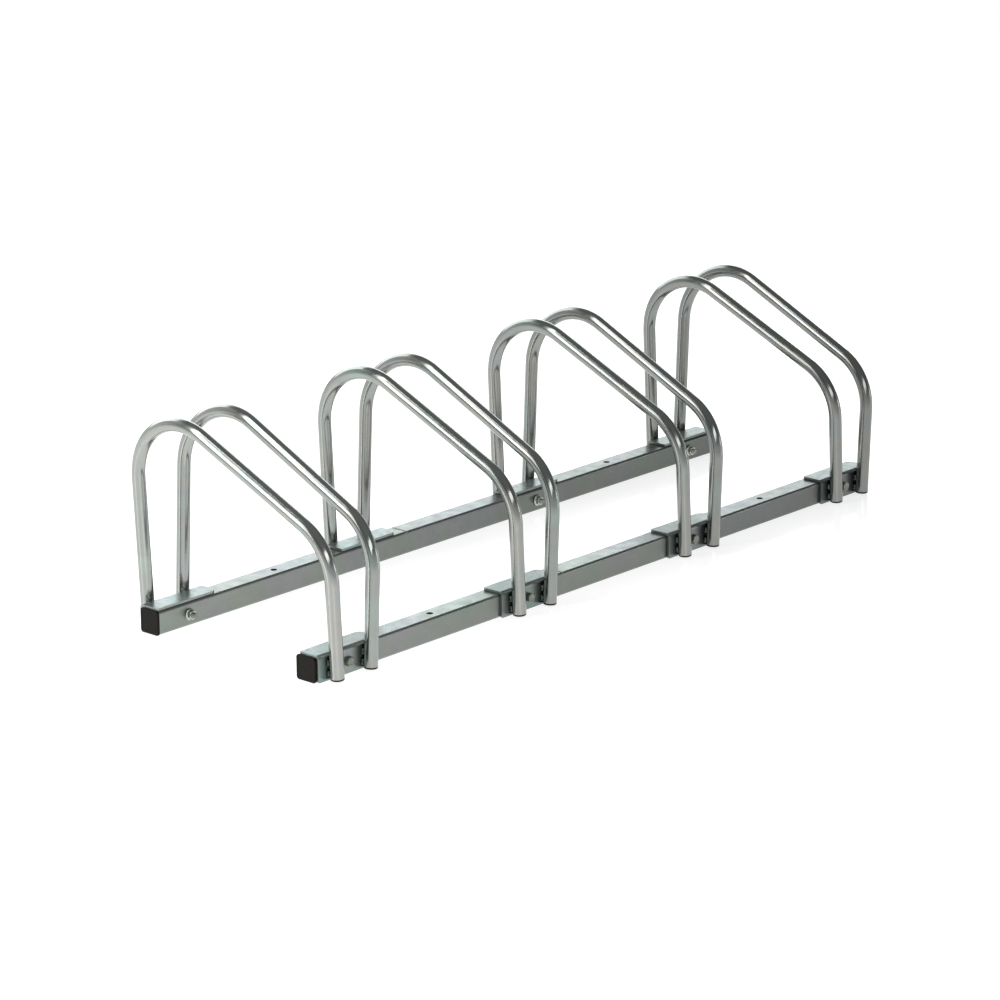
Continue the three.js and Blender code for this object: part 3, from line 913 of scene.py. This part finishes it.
def soft_box(name, azimuth, elevation, wide, tall, brightness, colour=(1, 1, 1), tilt=0):
    """A lamp seen from the rack at that azimuth, counted from +X towards +Y, and elevation, in degrees."""
    across, up = (2 * LAMP_DISTANCE * math.tan(math.radians(angle) / 2) for angle in (wide, tall))
    lamp = bpy.data.lights.new(name, "AREA")
    lamp.shape = "RECTANGLE"
    lamp.size, lamp.size_y = across, up
    lamp.energy = brightness * WATTS_PER_SQUARE_METRE * across * up
    lamp.color = colour
    box = bpy.data.objects.new(name, lamp)
    turn = Matrix.Rotation(math.radians(azimuth), 4, "Z") @ Matrix.Rotation(-math.radians(elevation), 4, "Y")
    place = turn @ Vector((LAMP_DISTANCE, 0, 0))
    facing = (-place).to_track_quat("-Z", "Y").to_matrix().to_4x4()
    box.matrix_world = Matrix.Translation(place) @ facing @ Matrix.Rotation(math.radians(tilt), 4, "Z")
    box.visible_camera = False
    bpy.context.collection.objects.link(box)
    print(f"{name}: {across:.1f} x {up:.1f} m")


soft_box("soft_box_left", 156.5, 40, 9, 62, 3.4)
soft_box("soft_box_left_fill", 166, 26, 20, 36, 1.7)
soft_box("soft_box_behind_camera", -112, 27, 46, 13, 2.0, tilt=18)
soft_box("soft_box_low_right", -40, 6, 9, 9, 2.6)
soft_box("soft_box_behind_rack", 42, 19, 44, 26, 1.68, (0.93, 1, 1.02))
soft_box("soft_box_behind_rack_high", 84, 28, 38, 36, 1.6, (0.97, 1, 1))

# %% [markdown]
# ## Studio ceiling and sky
#
# Above the lamps the room is dim. That dim ceiling gives the tubes their dark stripes, without which
# they'd look like plastic. It is a half sphere that only reflections and soft light meet, and past it the
# sky is white, so that a view from floor height has a pale background too.

# %% The ceiling and the sky
CEILING_RADIUS = 14
CEILING_GREY = 0.14
OVERHEAD_GREY = 0.12
HORIZON_GREY = 0.55
PALE_WALL_GREY = 0.52
PALE_WALL = Vector((-0.3, 0.86, 0.4))
ceiling_shape = bmesh.new()
bmesh.ops.create_uvsphere(ceiling_shape, u_segments=48, v_segments=24, radius=CEILING_RADIUS)
bmesh.ops.bisect_plane(
    ceiling_shape, geom=ceiling_shape.verts[:] + ceiling_shape.edges[:] + ceiling_shape.faces[:],
    plane_co=(0, 0, 0), plane_no=(0, 0, 1), clear_inner=True,
)
dim_paint = bpy.data.materials.new("dim_ceiling")
dim_paint.use_nodes = True
tree = dim_paint.node_tree
tree.nodes.remove(tree.nodes["Principled BSDF"])
coordinates = tree.nodes.new("ShaderNodeTexCoord")
direction = tree.nodes.new("ShaderNodeVectorMath")
direction.operation = "NORMALIZE"
tree.links.new(coordinates.outputs["Object"], direction.inputs[0])
level = None
for towards, start, full, grey in (
    ((0, 0, 1), 0.0, 1.0, OVERHEAD_GREY),
    ((0, 0, 1), 0.4, 0.0, HORIZON_GREY),
    (PALE_WALL.normalized(), 0.84, 0.985, PALE_WALL_GREY),
):
    along = tree.nodes.new("ShaderNodeVectorMath")
    along.operation = "DOT_PRODUCT"
    along.inputs[1].default_value = towards
    tree.links.new(direction.outputs["Vector"], along.inputs[0])
    part = map_range(tree, along.outputs["Value"], start, full, 0, grey)
    part.interpolation_type = "SMOOTHSTEP"
    total = tree.nodes.new("ShaderNodeMath")
    total.operation = "ADD"
    tree.links.new(part.outputs["Result"], total.inputs[0])
    if level:
        tree.links.new(level, total.inputs[1])
    else:
        total.inputs[1].default_value = CEILING_GREY
    level = total.outputs["Value"]
dim = tree.nodes.new("ShaderNodeEmission")
dim.inputs["Color"].default_value = (0.97, 1, 1, 1)
tree.links.new(level, dim.inputs["Strength"])
tree.links.new(dim.outputs["Emission"], tree.nodes["Material Output"].inputs["Surface"])
ceiling = write_piece("ceiling", ceiling_shape, dim_paint)
ceiling.visible_camera = False

sky = bpy.data.worlds.new("white_sky")
sky.use_nodes = True
sky.node_tree.nodes["Background"].inputs["Color"].default_value = (1, 1, 1, 1)
sky.node_tree.nodes["Background"].inputs["Strength"].default_value = 1.0
bpy.context.scene.world = sky
